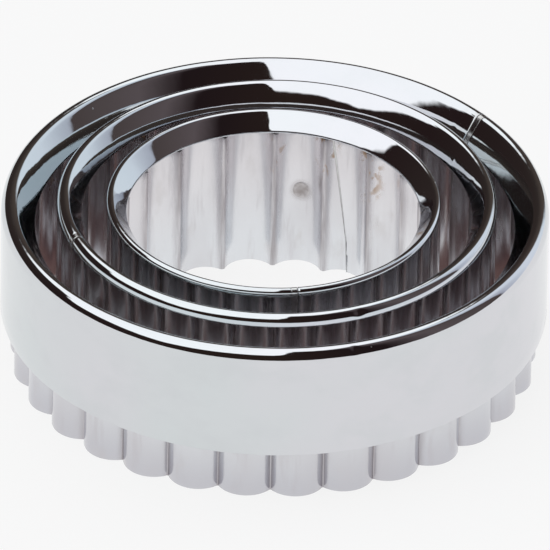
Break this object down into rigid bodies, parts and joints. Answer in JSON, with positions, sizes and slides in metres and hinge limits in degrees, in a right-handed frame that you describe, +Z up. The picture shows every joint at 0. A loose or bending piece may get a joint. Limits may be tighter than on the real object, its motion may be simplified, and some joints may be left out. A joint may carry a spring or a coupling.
{
  "type": "nested fluted pastry cutter set",
  "caption": "Nested round cutters with fluted cutting edges and plain rolled-rim collars, for cutting biscuits, scones and pastry.",
  "frame": {"origin": "on the largest cutter's axis, in the plane of the cutting edges that the set stands on", "axes": "+Z up along the cutters' axes, from the cutting edges to the rims; -Y is the front in the picture"},
  "size_m": [0.08, 0.08, 0.0263],
  "materials": {
    "bright_tinplate": "bright tinned steel, near mirror",
    "flute_tinplate": "tinned steel, soft sheen",
    "weld": "dull grey weld",
    "solder": "dull solder"
  },
  "bodies": {
    "large_cutter": {"large_collar": "bright_tinplate", "large_fluted_band": "flute_tinplate", "large_spot_welds": "weld", "large_collar_solder": "solder", "large_band_solder": "solder"},
    "medium_cutter": {"medium_collar": "bright_tinplate", "medium_fluted_band": "flute_tinplate", "medium_spot_welds": "weld", "medium_collar_solder": "solder", "medium_band_solder": "solder"},
    "small_cutter": {"small_collar": "bright_tinplate", "small_fluted_band": "flute_tinplate", "small_spot_welds": "weld", "small_collar_solder": "solder", "small_band_solder": "solder"}
  },
  "joints": [
    {"name": "medium_lift", "type": "slide", "parent": "large_cutter", "child": "medium_cutter", "axis": [0, 0, 1], "range_m": [0, 0.04]},
    {"name": "small_lift", "type": "slide", "parent": "large_cutter", "child": "small_cutter", "axis": [0, 0, 1], "range_m": [0, 0.04]}
  ]
}
